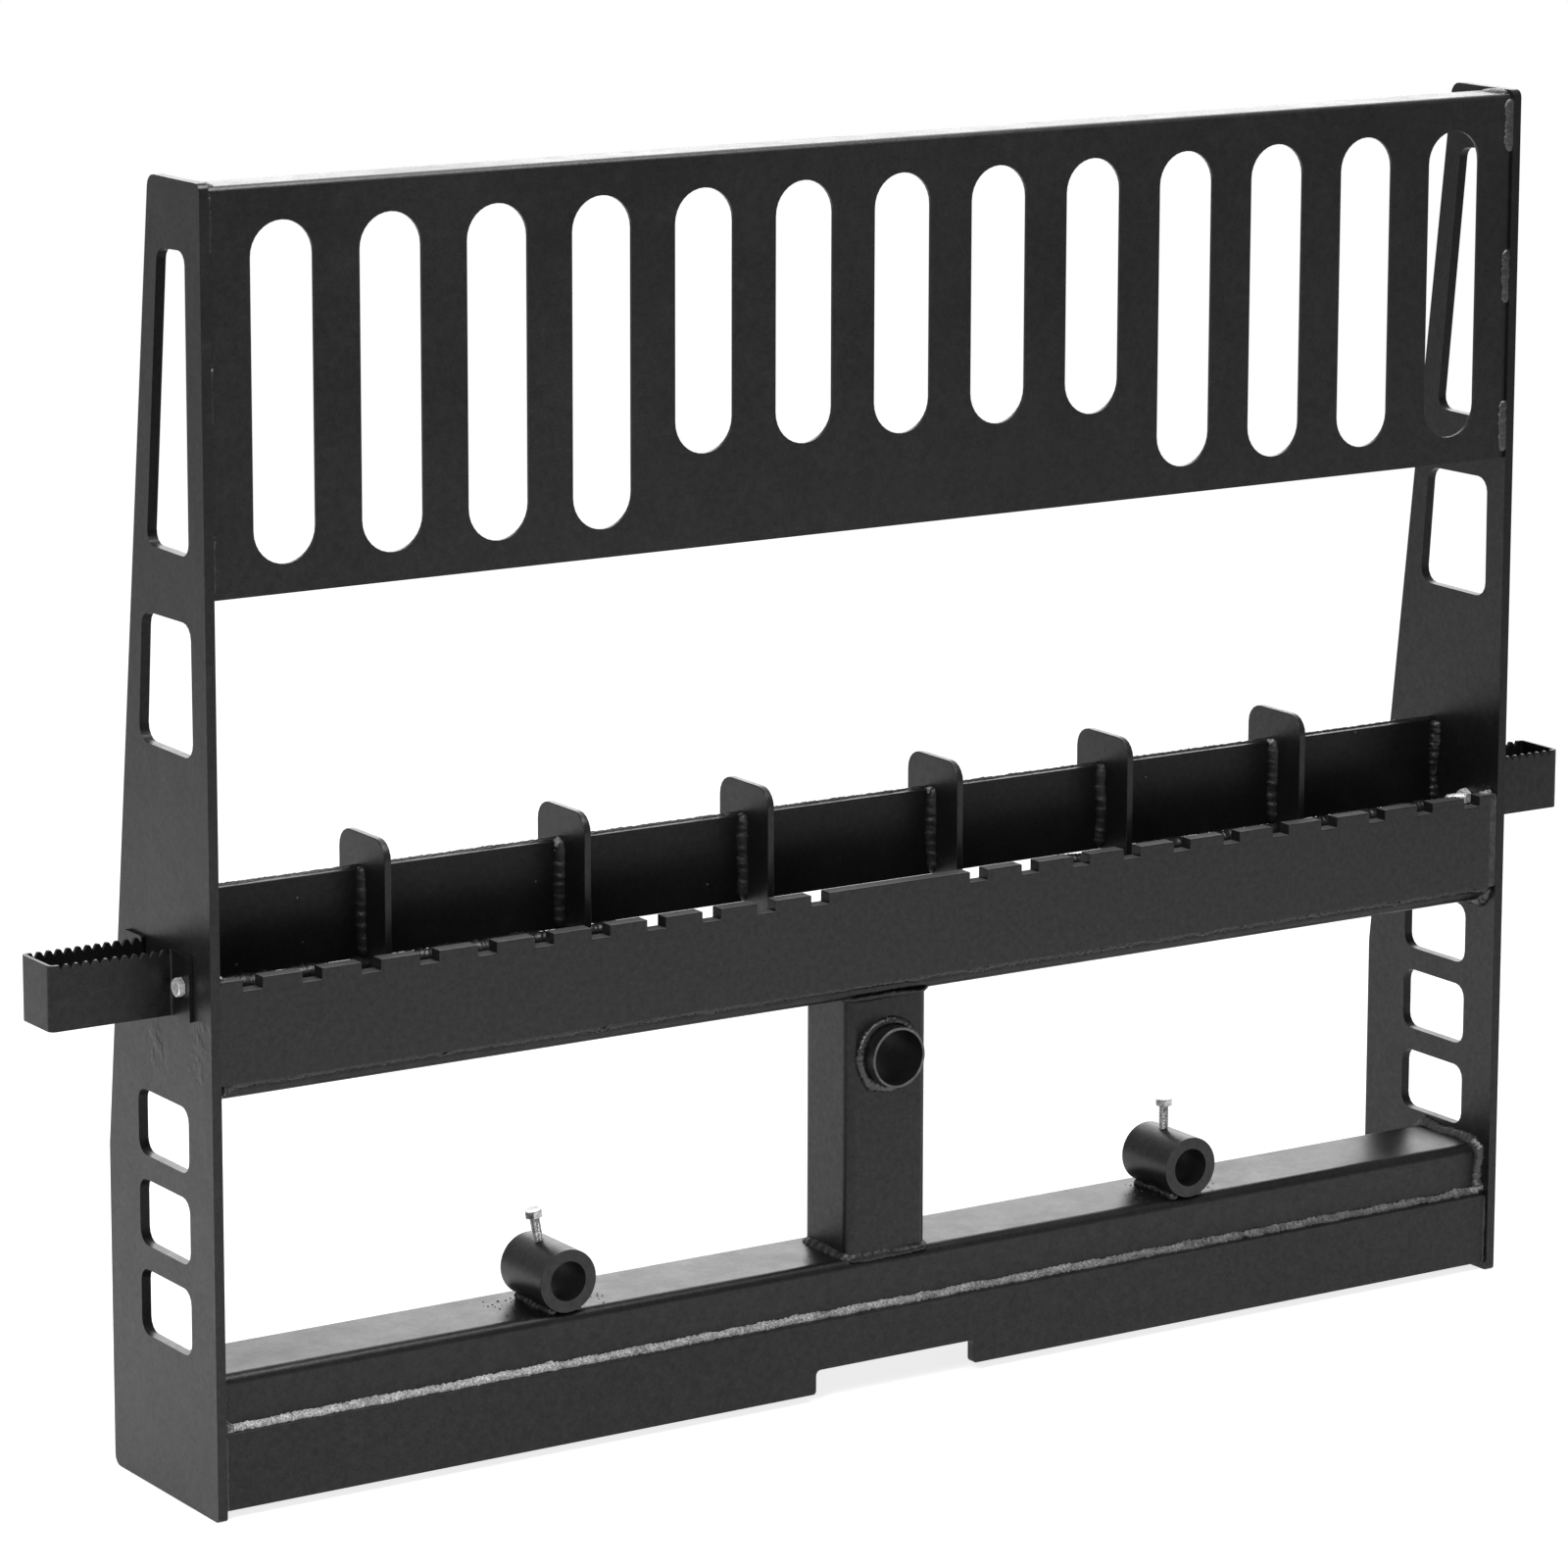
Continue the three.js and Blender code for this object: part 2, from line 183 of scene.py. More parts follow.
def specks_of(tree, place, scale, share, size):
    """1 on small round specks: one in so many cells of a Voronoi pattern holds one."""
    cells = add_node(tree, "ShaderNodeTexVoronoi", {"Scale": scale, "Randomness": 1.0})
    tree.links.new(place, cells.inputs["Vector"])
    near = ramp_of(tree, cells.outputs["Distance"], [(size * 0.6, 1.0), (size, 0.0)])
    chosen = ramp_of(tree, cells.outputs["Color"], [(1 - share, 0.0), (1 - share + 0.01, 1.0)])
    return mix_of(tree, 1.0, near, chosen, "MULTIPLY")


def bump_of(tree, height, strength, distance, below=None):
    node = add_node(tree, "ShaderNodeBump", {"Strength": strength, "Distance": distance})
    tree.links.new(height, node.inputs["Height"])
    if below is not None:
        tree.links.new(below, node.inputs["Normal"])
    return node.outputs["Normal"]


def shade_by(tree, place, axis, low, high, first, second):
    """A value that goes from first to second as one coordinate of the place goes from low to high."""
    parts = add_node(tree, "ShaderNodeSeparateXYZ")
    tree.links.new(place, parts.inputs[0])
    spread = add_node(tree, "ShaderNodeMapRange", {
        "From Min": low, "From Max": high, "To Min": first, "To Max": second,
    })
    tree.links.new(parts.outputs[axis], spread.inputs["Value"])
    return spread.outputs["Result"]


def upward_of(tree):
    """1 on faces that look up, where a painted sheen goes."""
    geometry = add_node(tree, "ShaderNodeNewGeometry")
    return shade_by(tree, geometry.outputs["Normal"], "Z", 0.75, 0.95, 0.0, 1.0)


def scuff_of(tree, place, points):
    """1 on ragged strokes around some points of a surface."""
    strokes = ramp_of(tree, noise_of(tree, place, STROKES, 4.0, 0.6), [(0.46, 0.0), (0.6, 1.0)])
    near = None
    for point, radius in points:
        away = add_node(tree, "ShaderNodeVectorMath", {1: point}, operation="DISTANCE")
        tree.links.new(place, away.inputs[0])
        spot = ramp_of(tree, away.outputs["Value"], [(radius * 0.3, 1.0), (radius, 0.0)])
        near = spot if near is None else mix_of(tree, 1.0, near, spot, "LIGHTEN")
    return mix_of(tree, 1.0, strokes, near, "MULTIPLY")


def strip_of(tree, place, start):
    """1 on a ragged strip to the right of one X."""
    ragged = ramp_of(tree, noise_of(tree, place, RAGGED, 4.0, 0.7), [(0.4, 0.1), (0.6, 1.0)])
    strip = shade_by(tree, place, "X", start, start + 1.5 * MM, 0.0, 1.0)
    return mix_of(tree, 1.0, ramp_of(tree, strip, [(0.0, 0.0), (1.0, 1.0)]), ragged, "MULTIPLY")


def shine_of(tree, place, back, front):
    """Specular level, mottled: one value on the faces at the very front and another behind them."""
    edge = cad_box[0].y
    shine = shade_by(tree, place, "Y", edge + 0.4 * MM, edge + 0.8 * MM, front, back)
    mottle = ramp_of(tree, noise_of(tree, place, MOTTLE, 5.0, 0.75), [(0.32, 0.76), (0.68, 1.24)])
    product = add_node(tree, "ShaderNodeMath", operation="MULTIPLY")
    tree.links.new(shine, product.inputs[0])
    tree.links.new(mottle, product.inputs[1])
    return product.outputs[0]


def powder_coat(name, dark=0.0036, light=0.006, rough=(0.3, 0.42), dust=0.02, dust_colour=0.1,
                specular=0.36, peel=0.45, waves=0.2, front_specular=None, painted_top_sheen=None, scuffs=(),
                weld_from=None):
    """Satin black powder coat: orange peel, cloudy gloss, faint rubbed patches and dust, and optionally a
    painted sheen that lightens the faces looking up.
    """
    material, tree, shader = new_material(name)
    place = place_of(tree)
    clouds = noise_of(tree, place, CLOUDS, 5.0, 0.6)
    rubbed = noise_of(tree, place, RUBS, 6.0, 0.65)
    grit = noise_of(tree, place, GRIT, 3.0, 0.7)
    colour = ramp_of(tree, clouds, [(0.3, dark), (0.72, light)])
    patch = ramp_of(tree, rubbed, [(0.56, 0.0), (0.8, 0.5)])
    colour = mix_of(tree, patch, colour, (light * 1.9,) * 3)
    colour = mix_of(tree, 0.75, colour, ramp_of(tree, grit, [(0.34, 0.3), (0.66, 1.9)]), "MULTIPLY")
    # Painted sheen: faces that look up are lightened towards this grey.
    if painted_top_sheen is not None:
        colour = mix_of(tree, upward_of(tree), colour, (painted_top_sheen,) * 3)
    if weld_from is not None:
        colour = mix_of(tree, strip_of(tree, place, weld_from), colour, WELD_GREY)
    specks = specks_of(tree, place, SPECKS, dust, 0.22)
    colour = mix_of(tree, specks, colour, (dust_colour, dust_colour, dust_colour * 0.97))
    tree.links.new(colour, shader.inputs["Base Color"])
    gloss = ramp_of(tree, mix_of(tree, 0.5, clouds, rubbed), [(0.35, rough[0]), (0.68, rough[1])])
    tree.links.new(gloss, shader.inputs["Roughness"])
    wave = bump_of(tree, noise_of(tree, place, WAVES, 2.0), waves, 1.2 * MM)
    if scuffs:
        wave = bump_of(tree, scuff_of(tree, place, scuffs), 0.5, 0.8 * MM, wave)
    grain = bump_of(tree, grit, peel, 0.25 * MM, wave)
    tree.links.new(grain, shader.inputs["Normal"])
    front = specular if front_specular is None else front_specular
    shine = shine_of(tree, place, specular, front)
    tree.links.new(shine, shader.inputs["Specular IOR Level"])
    return material


def scale_of_weld(name, dark, light, right=1.0, rough=(0.36, 0.55), specular=0.5):
    """Thin coat over a rough weld: fine grey mottling, with painted shade fading it to the share `right` at
    the right end, where the top softbox's highlight falls off.
    """
    material, tree, shader = new_material(name)
    place = place_of(tree)
    mottle = noise_of(tree, place, WELD_GRAIN, 4.0, 0.75)
    patches = noise_of(tree, place, WELD_PATCHES, 3.0, 0.6)
    colour = ramp_of(tree, mottle, [(0.36, dark), (0.66, light)])
    colour = mix_of(tree, 1.0, colour, ramp_of(tree, patches, [(0.3, 0.45), (0.7, 1.25)]), "MULTIPLY")
    # Painted shade: the colour falls to the share `right` towards the right end.
    fade = shade_by(tree, place, "X", *WELD_SHADE_FADE, 1.0, right)
    colour = mix_of(tree, 1.0, colour, ramp_of(tree, fade, [(0.0, 0.0), (1.0, 1.0)]), "MULTIPLY")
    tree.links.new(colour, shader.inputs["Base Color"])
    tree.links.new(ramp_of(tree, patches, [(0.35, rough[0]), (0.65, rough[1])]), shader.inputs["Roughness"])
    waves = bump_of(tree, noise_of(tree, place, WELD_WAVES, 3.0, 0.7), 0.8, 0.6 * MM)
    tree.links.new(bump_of(tree, mottle, 0.9, 0.4 * MM, waves), shader.inputs["Normal"])
    shader.inputs["Specular IOR Level"].default_value = specular
    return material


def zinc_plate(name, dark, light, rough, metallic):
    """Bright zinc plating: cloudy silver with dark pits."""
    material, tree, shader = new_material(name)
    place = place_of(tree)
    clouds = noise_of(tree, place, ZINC_CLOUDS, 4.0, 0.65)
    pits = noise_of(tree, place, ZINC_PITS, 3.0, 0.7)
    colour = ramp_of(tree, clouds, [(0.3, dark), (0.62, light)])
    colour = mix_of(tree, 0.8, colour, ramp_of(tree, pits, [(0.3, 0.2), (0.43, 1.0)]), "MULTIPLY")
    tree.links.new(colour, shader.inputs["Base Color"])
    gloss = ramp_of(tree, clouds, [(0.3, rough[0]), (0.75, rough[1])])
    tree.links.new(gloss, shader.inputs["Roughness"])
    tree.links.new(bump_of(tree, pits, 0.2, 0.3 * MM), shader.inputs["Normal"])
    shader.inputs["Metallic"].default_value = metallic
    return material


# Scuffed spots on the left plate's outside: Y, Z and radius of each, in millimetres.
SCUFFED = ((4, 348, 22), (-70, 370, 20), (-60, 344, 16))
LEFT_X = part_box("side_plate_left")[0].x
SCUFFS = [((LEFT_X, y * MM, z * MM), radius * MM) for y, z, radius in SCUFFED]
# The seam of weld at the right end of the upper bar's face starts here.
SEAM_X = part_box("side_plate_right")[0].x - 8 * MM

POWDER = powder_coat("powder_black")
POWDER_DULL = powder_coat("powder_black_dull", specular=0.285)
POWDER_LOW = powder_coat("powder_black_low", specular=0.25)
# The guard gets a painted sheen on its top faces.
POWDER_GUARD = powder_coat("powder_black_guard", specular=0.34, painted_top_sheen=0.08)
# The hook plate: a darker, less shiny coat as painted shade, with real dust specks.
POWDER_DUSTY_SHADED = powder_coat("powder_black_dusty_and_shaded", dark=0.003, light=0.005, dust=0.06, specular=0.22)
POWDER_EDGED = powder_coat("powder_black_edged", specular=0.32, front_specular=0.24)
POWDER_SMUDGED = powder_coat("powder_black_smudged", dark=0.004, light=0.011, waves=0.45,
                             specular=0.34, front_specular=0.26, scuffs=SCUFFS)
# The ears and the upper bar get a painted sheen on their top faces.
POWDER_TOPPED = powder_coat("powder_black_topped", painted_top_sheen=0.05)
POWDER_BAR = powder_coat("powder_black_bar", specular=0.34, painted_top_sheen=0.05, weld_from=SEAM_X)
# Painted shade inside the sleeve bores: a darker, less shiny coat.
POWDER_BORE_SHADE = powder_coat("powder_black_bore_painted_shade", dark=0.002, light=0.003, rough=(0.5, 0.6), specular=0.12)
# Painted shade on the cut faces inside the side plates' windows: a darker, less shiny coat.
POWDER_CUT_SHADE = powder_coat("powder_black_cut_painted_shade", dark=0.002, light=0.004, rough=(0.4, 0.5), specular=0.2)
# A lighter coat for the centre sleeve's front rim: partly wear, partly a painted highlight of its thin
# bright edge.
POWDER_WORN_HIGHLIT = powder_coat("powder_black_worn_and_highlit", dark=0.02, light=0.14, rough=(0.25, 0.4), dust=0.2,
                          specular=0.6)
WELD = powder_coat("powder_over_weld", dark=0.006, light=0.03, rough=(0.2, 0.42), dust=0.14,
                   dust_colour=0.2, specular=0.6, peel=0.9, waves=0.9)
WELD_DARK = powder_coat("powder_over_dark_weld", dark=0.004, light=0.012, rough=(0.24, 0.42), dust=0.04,
                        specular=0.42, peel=0.7, waves=0.7)
WELD_QUIET = powder_coat("powder_over_flat_weld", dark=0.004, light=0.012, rough=(0.34, 0.48), dust=0.04,
                         specular=0.34, peel=0.9, waves=0.6)
# The strip over the lower bar: a thin grey coat, painted darker towards the right as shade.
WELD_STRIP = scale_of_weld("thin_coat_on_weld_painted_fade", dark=0.05, light=0.55, right=0.26)
WELD_LUMPS = scale_of_weld("thin_coat_on_lumps", dark=0.02, light=0.26, rough=(0.25, 0.45), specular=0.6)
ZINC = zinc_plate("zinc_plate", dark=0.22, light=0.5, rough=(0.22, 0.34), metallic=0.85)
ZINC_BRIGHT = zinc_plate("zinc_plate_bright", dark=0.5, light=0.95, rough=(0.22, 0.36), metallic=0.6)


# ---- pieces ----
SAME_PLANE = math.cos(math.radians(0.6))
SAME_SURFACE = math.cos(math.radians(50))
FLAT_WITHIN = math.radians(1)          # faces that differ by less are joined before the rounding
ROUNDED_FROM = math.radians(40)        # edges sharper than this are rounded


def middle_of(node):
    """X and Z of the middle of a CAD node."""
    low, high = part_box(node)
    return (low.x + high.x) / 2, (low.z + high.z) / 2


def mesh_of(name, bm):
    """A mesh with what the bmesh holds; the bmesh is freed."""
    mesh = bpy.data.meshes.new(name)
    bm.to_mesh(mesh)
    bm.free()
    return mesh


def built_mesh(name, build):
    """A mesh whose faces a function adds, turned outwards."""
    bm = bmesh.new()
    build(bm)
    bmesh.ops.recalc_face_normals(bm, faces=bm.faces)
    return mesh_of(name, bm)


def loop_faces(bm, loops, closed=False):
    """Faces between each loop of points and the next. The first and the last are joined, or capped."""
    after = loops[1:] + loops[:1] if closed else loops[1:]
    for first, second in zip(loops, after):
        n = len(first)
        for j in range(n):
            bm.faces.new((first[j], first[(j + 1) % n], second[(j + 1) % n], second[j]))
    if not closed:
        bm.faces.new(loops[0][::-1])
        bm.faces.new(loops[-1])


def flatten_shading(mesh):
    """Custom normals: each corner takes the normals of the planes that meet there, by their whole areas."""
    bm = bmesh.new()
    bm.from_mesh(mesh)
    bm.faces.ensure_lookup_table()
    region = [-1] * len(bm.faces)
    sums = []
    for start in bm.faces:
        if region[start.index] >= 0:
            continue
        number = len(sums)
        region[start.index] = number
        total = Vector()
        queue = [start]
        while queue:
            face = queue.pop()
            total += face.normal * face.calc_area()
            for edge in face.edges:
                for other in edge.link_faces:
                    if region[other.index] < 0 and other.normal.dot(face.normal) > SAME_PLANE:
                        region[other.index] = number
                        queue.append(other)
        sums.append(total)
    normals = []
    for face in bm.faces:
        for loop in face.loops:
            near = [f for f in loop.vert.link_faces if f.normal.dot(face.normal) > SAME_SURFACE]
            found = {region[f.index] for f in near}
            normal = sum((sums[r] for r in sorted(found)), Vector())
            normals.append(normal.normalized() if normal.length > 0 else face.normal)
    bm.free()
    mesh.normals_split_custom_set(normals)


def finish_piece(name, mesh, material, body="frame", nodes=(), sharp=None):
    """A smooth piece that rides a body and replaces nodes. Edges over `sharp` degrees stay hard."""
    mesh.materials.clear()
    mesh.materials.append(material)
    mesh.polygons.foreach_set("use_smooth", [True] * len(mesh.polygons))
    if sharp is None:
        flatten_shading(mesh)
    else:
        mesh.set_sharp_from_angle(angle=math.radians(sharp))
    piece = bpy.data.objects.new(name, mesh)
    scene.collection.objects.link(piece)
    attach(piece, body)
    if nodes:
        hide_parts(*nodes)
    return piece


def shade_bore(piece, node, radius, material):
    """Painted shade: another, darker material inside a bore of that radius along the Y axis of the node's
    middle.
    """
    x, z = middle_of(node)
    piece.data.materials.append(material)
    for face in piece.data.polygons:
        inside = math.hypot(face.center.x - x, face.center.z - z) < radius
        if inside and abs(face.normal.y) < 0.5:
            face.material_index = 1


def darken_cuts(piece, node, material):
    """Painted shade: a darker material on a side plate's cut faces that look forward from inside the
    windows, which lie in shade.
    """
    behind_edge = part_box(node)[0].y + 4 * MM
    piece.data.materials.append(material)
    for face in piece.data.polygons:
        if face.normal.y < -0.8 and face.center.y > behind_edge:
            face.material_index = 1


def evaluated(piece):
    """The piece's mesh with its modifiers applied."""
    depsgraph = bpy.context.evaluated_depsgraph_get()
    return bpy.data.meshes.new_from_object(piece.evaluated_get(depsgraph), depsgraph=depsgraph)


def rounded_copy(node, width, material):
    """A copy of a CAD node with its sharp edges rounded, in place of the node."""
    bm = bmesh.new()
    bm.from_mesh(frame["nodes"][node].data)
    bmesh.ops.remove_doubles(bm, verts=bm.verts, dist=0.002 * MM)
    bmesh.ops.dissolve_degenerate(bm, dist=0.04 * MM, edges=bm.edges)
    bmesh.ops.dissolve_limit(bm, angle_limit=FLAT_WITHIN, verts=bm.verts, edges=bm.edges)
    source = bpy.data.objects.new(node + "_source", mesh_of(node + "_mesh", bm))
    scene.collection.objects.link(source)
    bevel = source.modifiers.new("edges", "BEVEL")
    bevel.width = width
    bevel.segments = 2
    bevel.limit_method = "ANGLE"
    bevel.angle_limit = ROUNDED_FROM
    bevel.miter_outer = "MITER_SHARP"
    final = evaluated(source)
    bpy.data.objects.remove(source)
    return finish_piece(node + "_looks", final, material, nodes=[node])


def turned_ring(name, node, profile, material, count=96):
    """A ring turned about the Y axis of a CAD node; profile is a closed loop of (radius, y)."""
    x, z = middle_of(node)

    def build(bm):
        rings = []
        for k in range(count):
            angle = 2 * math.pi * k / count
            across = math.cos(angle)
            rise = math.sin(angle)
            rings.append([bm.verts.new((x + r * across, y, z + r * rise)) for r, y in profile])
        loop_faces(bm, rings, closed=True)

    return finish_piece(name, built_mesh(name, build), material, nodes=[node])


EARS = range(1, 7)
GUSSETS = range(1, 5)
SIDE_BORE = 16.2 * MM          # faces nearer than this to a side sleeve's axis are its bore, which gets painted shade
# Node: width of its rounded edges in millimetres, and its coat.
ROUNDED = {
    "side_plate_left": (0.9, POWDER_SMUDGED),
    "side_plate_right": (0.9, POWDER_EDGED),
    "guard_panel": (0.6, POWDER_GUARD),
    "fork_bar_upper": (0.8, POWDER_BAR),
    "fork_bar_lower": (0.9, POWDER_LOW),
    "cross_tube": (0.6, POWDER_DULL),
    "base_tube": (0.6, POWDER_DULL),
    "centre_post": (0.6, POWDER_DULL),
    "spear_sleeve_left": (1.3, POWDER),
    "spear_sleeve_right": (1.3, POWDER),
    "hook_plate": (0.8, POWDER_DUSTY_SHADED),
    "hook_lip": (0.8, POWDER),
    "lock_pin_plate": (0.9, POWDER),
    "step_left": (0.5, POWDER_DULL),
    "step_right": (0.5, POWDER_DULL),
}
for number in EARS:
    ROUNDED[f"ear_{number}"] = (0.8, POWDER_TOPPED)
for number in GUSSETS:
    ROUNDED[f"lock_gusset_{number}"] = (0.8, POWDER)
for node, (width, material) in ROUNDED.items():
    piece = rounded_copy(node, width * MM, material)
    if node in ("spear_sleeve_left", "spear_sleeve_right"):
        shade_bore(piece, node, SIDE_BORE, POWDER_BORE_SHADE)
    if node.startswith("side_plate"):
        darken_cuts(piece, node, POWDER_CUT_SHADE)


centre_low, centre_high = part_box("spear_sleeve_centre")
CENTRE_R = (centre_high.x - centre_low.x) / 2
CENTRE_WALL = 2.2 * MM
EDGE = 0.5 * MM                # the edges of its rim are rounded this far in
CURVE = 0.15 * MM              # the middle of that rounding is this far in
HIGHLIT_RIM = 0.45 * MM           # faces nearer than this to its front end get a lighter coat: wear and a painted highlight
sleeve = turned_ring("spear_sleeve_centre_looks", "spear_sleeve_centre", [
    (CENTRE_R, centre_low.y + EDGE),
    (CENTRE_R - CURVE, centre_low.y + CURVE),
    (CENTRE_R - EDGE, centre_low.y),
    (CENTRE_R - CENTRE_WALL + EDGE, centre_low.y),
    (CENTRE_R - CENTRE_WALL + CURVE, centre_low.y + CURVE),
    (CENTRE_R - CENTRE_WALL, centre_low.y + EDGE),
    (CENTRE_R - CENTRE_WALL, centre_high.y - EDGE),
    (CENTRE_R - CENTRE_WALL + EDGE, centre_high.y),
    (CENTRE_R - EDGE, centre_high.y),
    (CENTRE_R, centre_high.y - EDGE),
], POWDER)
# Painted shade inside the centre sleeve's bore.
shade_bore(sleeve, "spear_sleeve_centre", CENTRE_R - CENTRE_WALL + 0.05 * MM, POWDER_BORE_SHADE)
# The sleeve's front rim is painted lighter: wear and a painted highlight.
sleeve.data.materials.append(POWDER_WORN_HIGHLIT)
for face in sleeve.data.polygons:
    if face.center.y < centre_low.y + HIGHLIT_RIM:
        face.material_index = 2


# ---- weld beads ----
INSIDE_BOX = 0.03 * MM         # beads stay this far inside the CAD box in front and on top
DROP_SIZE = (0.35 * MM, 1.0 * MM)
# Scales of the noise that shapes a bead, in cells per metre.
WANDER_SCALE = 45
SIZE_SCALE = 70
RIPPLE_SCALE = 90
LUMP_SCALE = 420


def resample(path, step, closed):
    """Points a step apart along a path, each with its distance along it, and the path's length."""
    points = [Vector(p) for p in path]
    if closed:
        points.append(points[0])
    lengths = [(b - a).length for a, b in zip(points, points[1:])]
    total = sum(lengths)
    count = max(4, round(total / step))
    out = []
    index = 0
    done = 0.0
    for k in range(count if closed else count + 1):
        s = total * k / count
        while index < len(lengths) - 1 and s > done + lengths[index]:
            done += lengths[index]
            index += 1
        share = (s - done) / max(lengths[index], 1e-9)
        out.append((points[index].lerp(points[index + 1], min(1.0, share)), s))
    return out, total


def bulge_at(outs, s, total, along):
    """The way a bead bulges at the distance s, square to the way it runs there."""
    bulge = outs[0]
    if len(outs) > 1:
        place = (len(outs) - 1) * s / total
        low = min(int(place), len(outs) - 2)
        bulge = outs[low].lerp(outs[low + 1], place - low)
    return (bulge - along * bulge.dot(along)).normalized()


def bead(bm, path, out, radius, seed=0.0, closed=False, step=1.3 * MM, ripple=3.6 * MM,
         rough=0.22, sides=9, height=0.85, lumps=()):
    """A rippled weld bead along a path.

    out is the way it bulges, one vector or one for each path point. Each lump has its place, the growth
    of the radius there and how far that spreads.
    """
    samples, total = resample(path, step, closed)
    outs = [Vector(o) for o in out] if hasattr(out[0], "__len__") else [Vector(out)]
    if closed and len(outs) > 1:
        outs.append(outs[0])
    shift = Vector((seed * 3.7, seed * 1.9, seed * 5.3))
    rings = []
    for k, (point, s) in enumerate(samples):
        before = samples[(k - 1) % len(samples)][0] if closed or k else point
        after = samples[(k + 1) % len(samples)][0] if closed or k < len(samples) - 1 else point
        along = (after - before).normalized()
        bulge = bulge_at(outs, s, total, along)
        side = along.cross(bulge)
        size = radius * (1 + 0.9 * rough * noise.noise(point * SIZE_SCALE + shift))
        for where, growth, spread in lumps:
            size += growth * math.exp(-(((point - Vector(where)).length / spread) ** 2))
        if not closed:
            ends = min(s, total - s) / radius
            size *= 0.25 + 0.75 * math.sqrt(min(1.0, max(0.0, ends)))
        wander = side * noise.noise(point * WANDER_SCALE - shift) * radius * 0.35
        ring = []
        for j in range(sides):
            angle = 2 * math.pi * j / sides
            across = math.cos(angle)
            rise = math.sin(angle)
            uneven = 0.3 * noise.noise(point * RIPPLE_SCALE + shift)
            wave = (s / ripple + 0.22 * (1 - across * across) + uneven) % 1.0 - 0.5
            spot = point + side * across * size + bulge * rise * size
            local = 1 + 0.16 * wave + rough * noise.noise(spot * LUMP_SCALE + shift)
            corner = point + wander + side * across * size * local + bulge * rise * size * height * local
            corner.y = max(corner.y, cad_box[0].y + INSIDE_BOX)
            corner.z = min(corner.z, cad_box[1].z - INSIDE_BOX)
            ring.append(bm.verts.new(corner))
        rings.append(ring)
    loop_faces(bm, rings, closed)


def drops(bm, rng, count, low, high):
    """Weld spatter: low round drops scattered over a level rectangle between two corners."""
    for _ in range(count):
        point = Vector([rng.uniform(a, b) for a, b in zip(low, high)])
        r = rng.uniform(*DROP_SIZE) * (1.6 if rng.random() < 0.08 else 1.0)
        squash = Matrix.Diagonal((1, rng.uniform(0.8, 1.25), rng.uniform(0.6, 0.9), 1))
        bmesh.ops.create_icosphere(bm, subdivisions=1, radius=r, matrix=Matrix.Translation(point) @ squash)


def weld_piece(name, build, material=WELD_DARK):
    finish_piece(name, built_mesh(name, build), material, sharp=70)


base_low, base_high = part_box("base_tube")
cross_low, cross_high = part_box("cross_tube")
bar_low, bar_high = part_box("fork_bar_upper")
lower_low, lower_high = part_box("fork_bar_lower")
post_low, post_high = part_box("centre_post")
hook_low, hook_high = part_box("hook_plate")
lip_low, lip_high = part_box("hook_lip")
guard_low, guard_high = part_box("guard_panel")
REACH = base_high.x            # the cross members end this far from the middle
CORNER = 6 * MM                # beads round the tubes cut their corners by this much


def lumps_at(spots, y, z):
    """Lumps of a bead along X from (x, growth, spread) of each."""
    return [((x, y, z), growth, spread) for x, growth, spread in spots]


STRIP_LUMPS = (
    (-REACH + 2 * MM, 2.4 * MM, 6 * MM),
    (-315 * MM, 2.2 * MM, 4 * MM),
    (-470 * MM, 0.9 * MM, 14 * MM),
    (80 * MM, 0.8 * MM, 10 * MM),
    (352 * MM, -1.9 * MM, 2.2 * MM),
    (300 * MM, 1.0 * MM, 16 * MM),
    (REACH - 46 * MM, -1.2 * MM, 12 * MM),
    (REACH - 25 * MM, 1.9 * MM, 3.2 * MM),
)
UNDER_BAR_LUMPS = (
    (-REACH + 5 * MM, 4.2 * MM, 7 * MM),
    (REACH - 6 * MM, 3.4 * MM, 8 * MM),
    *((x * MM, 1.3 * MM, 4 * MM) for x in (-410, -170, 20, 230, 380, 500)),
)


def lower_bar_welds(bm):
    """The flat ragged strip between the lower bar's top and the bottom tube's front."""
    y = base_low.y - 2.1 * MM
    z = lower_high.z + 1.9 * MM
    bead(bm, [(-REACH, y, z), (REACH, y, z)], (0, -0.7, 0.7), 3.8 * MM, seed=1, rough=0.34, sides=16,
         step=0.9 * MM, ripple=5 * MM, height=0.5, lumps=lumps_at(STRIP_LUMPS, y, z))


weld_piece("weld_lower_bar", lower_bar_welds, WELD_STRIP)


def lower_bar_end_welds(bm):
    """Small beads between the lower bar's ends and the side plates."""
    for side in (-1, 1):
        x = side * (REACH - 1 * MM)
        y = lower_low.y + 1.6 * MM
        bead(bm, [(x, y, lower_low.z - 1 * MM), (x, y, lower_high.z)],
             (-side, -1, 0), 2.6 * MM, seed=6 + side, rough=0.3)


weld_piece("weld_lower_bar_ends", lower_bar_end_welds)


